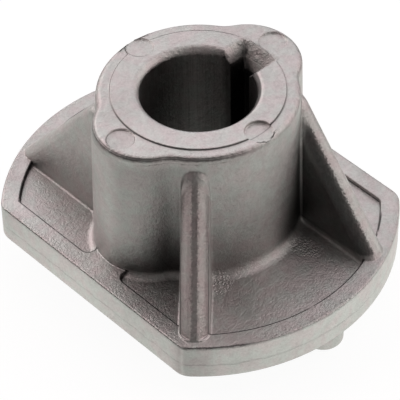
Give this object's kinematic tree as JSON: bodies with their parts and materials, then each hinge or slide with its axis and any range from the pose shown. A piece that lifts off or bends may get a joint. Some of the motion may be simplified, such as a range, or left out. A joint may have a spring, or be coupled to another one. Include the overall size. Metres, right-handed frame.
{
  "type": "mower blade adapter",
  "caption": "Die-cast hub with a keyed bore, a ribbed flange with flats and drive lugs, which carries a mower blade on an engine crankshaft.",
  "frame": {"origin": "on the bore axis in the blade seat, the underside of the flange", "axes": "+Z along the bore towards the hub end, +X towards the keyway, so the flats of the flange face +X and -X"},
  "size_m": [0.0586, 0.0782, 0.0422],
  "materials": {
    "cast_aluminium": "as cast, satin"
  },
  "bodies": {
    "root": {"adapter_casting": "cast_aluminium"}
  },
  "joints": []
}
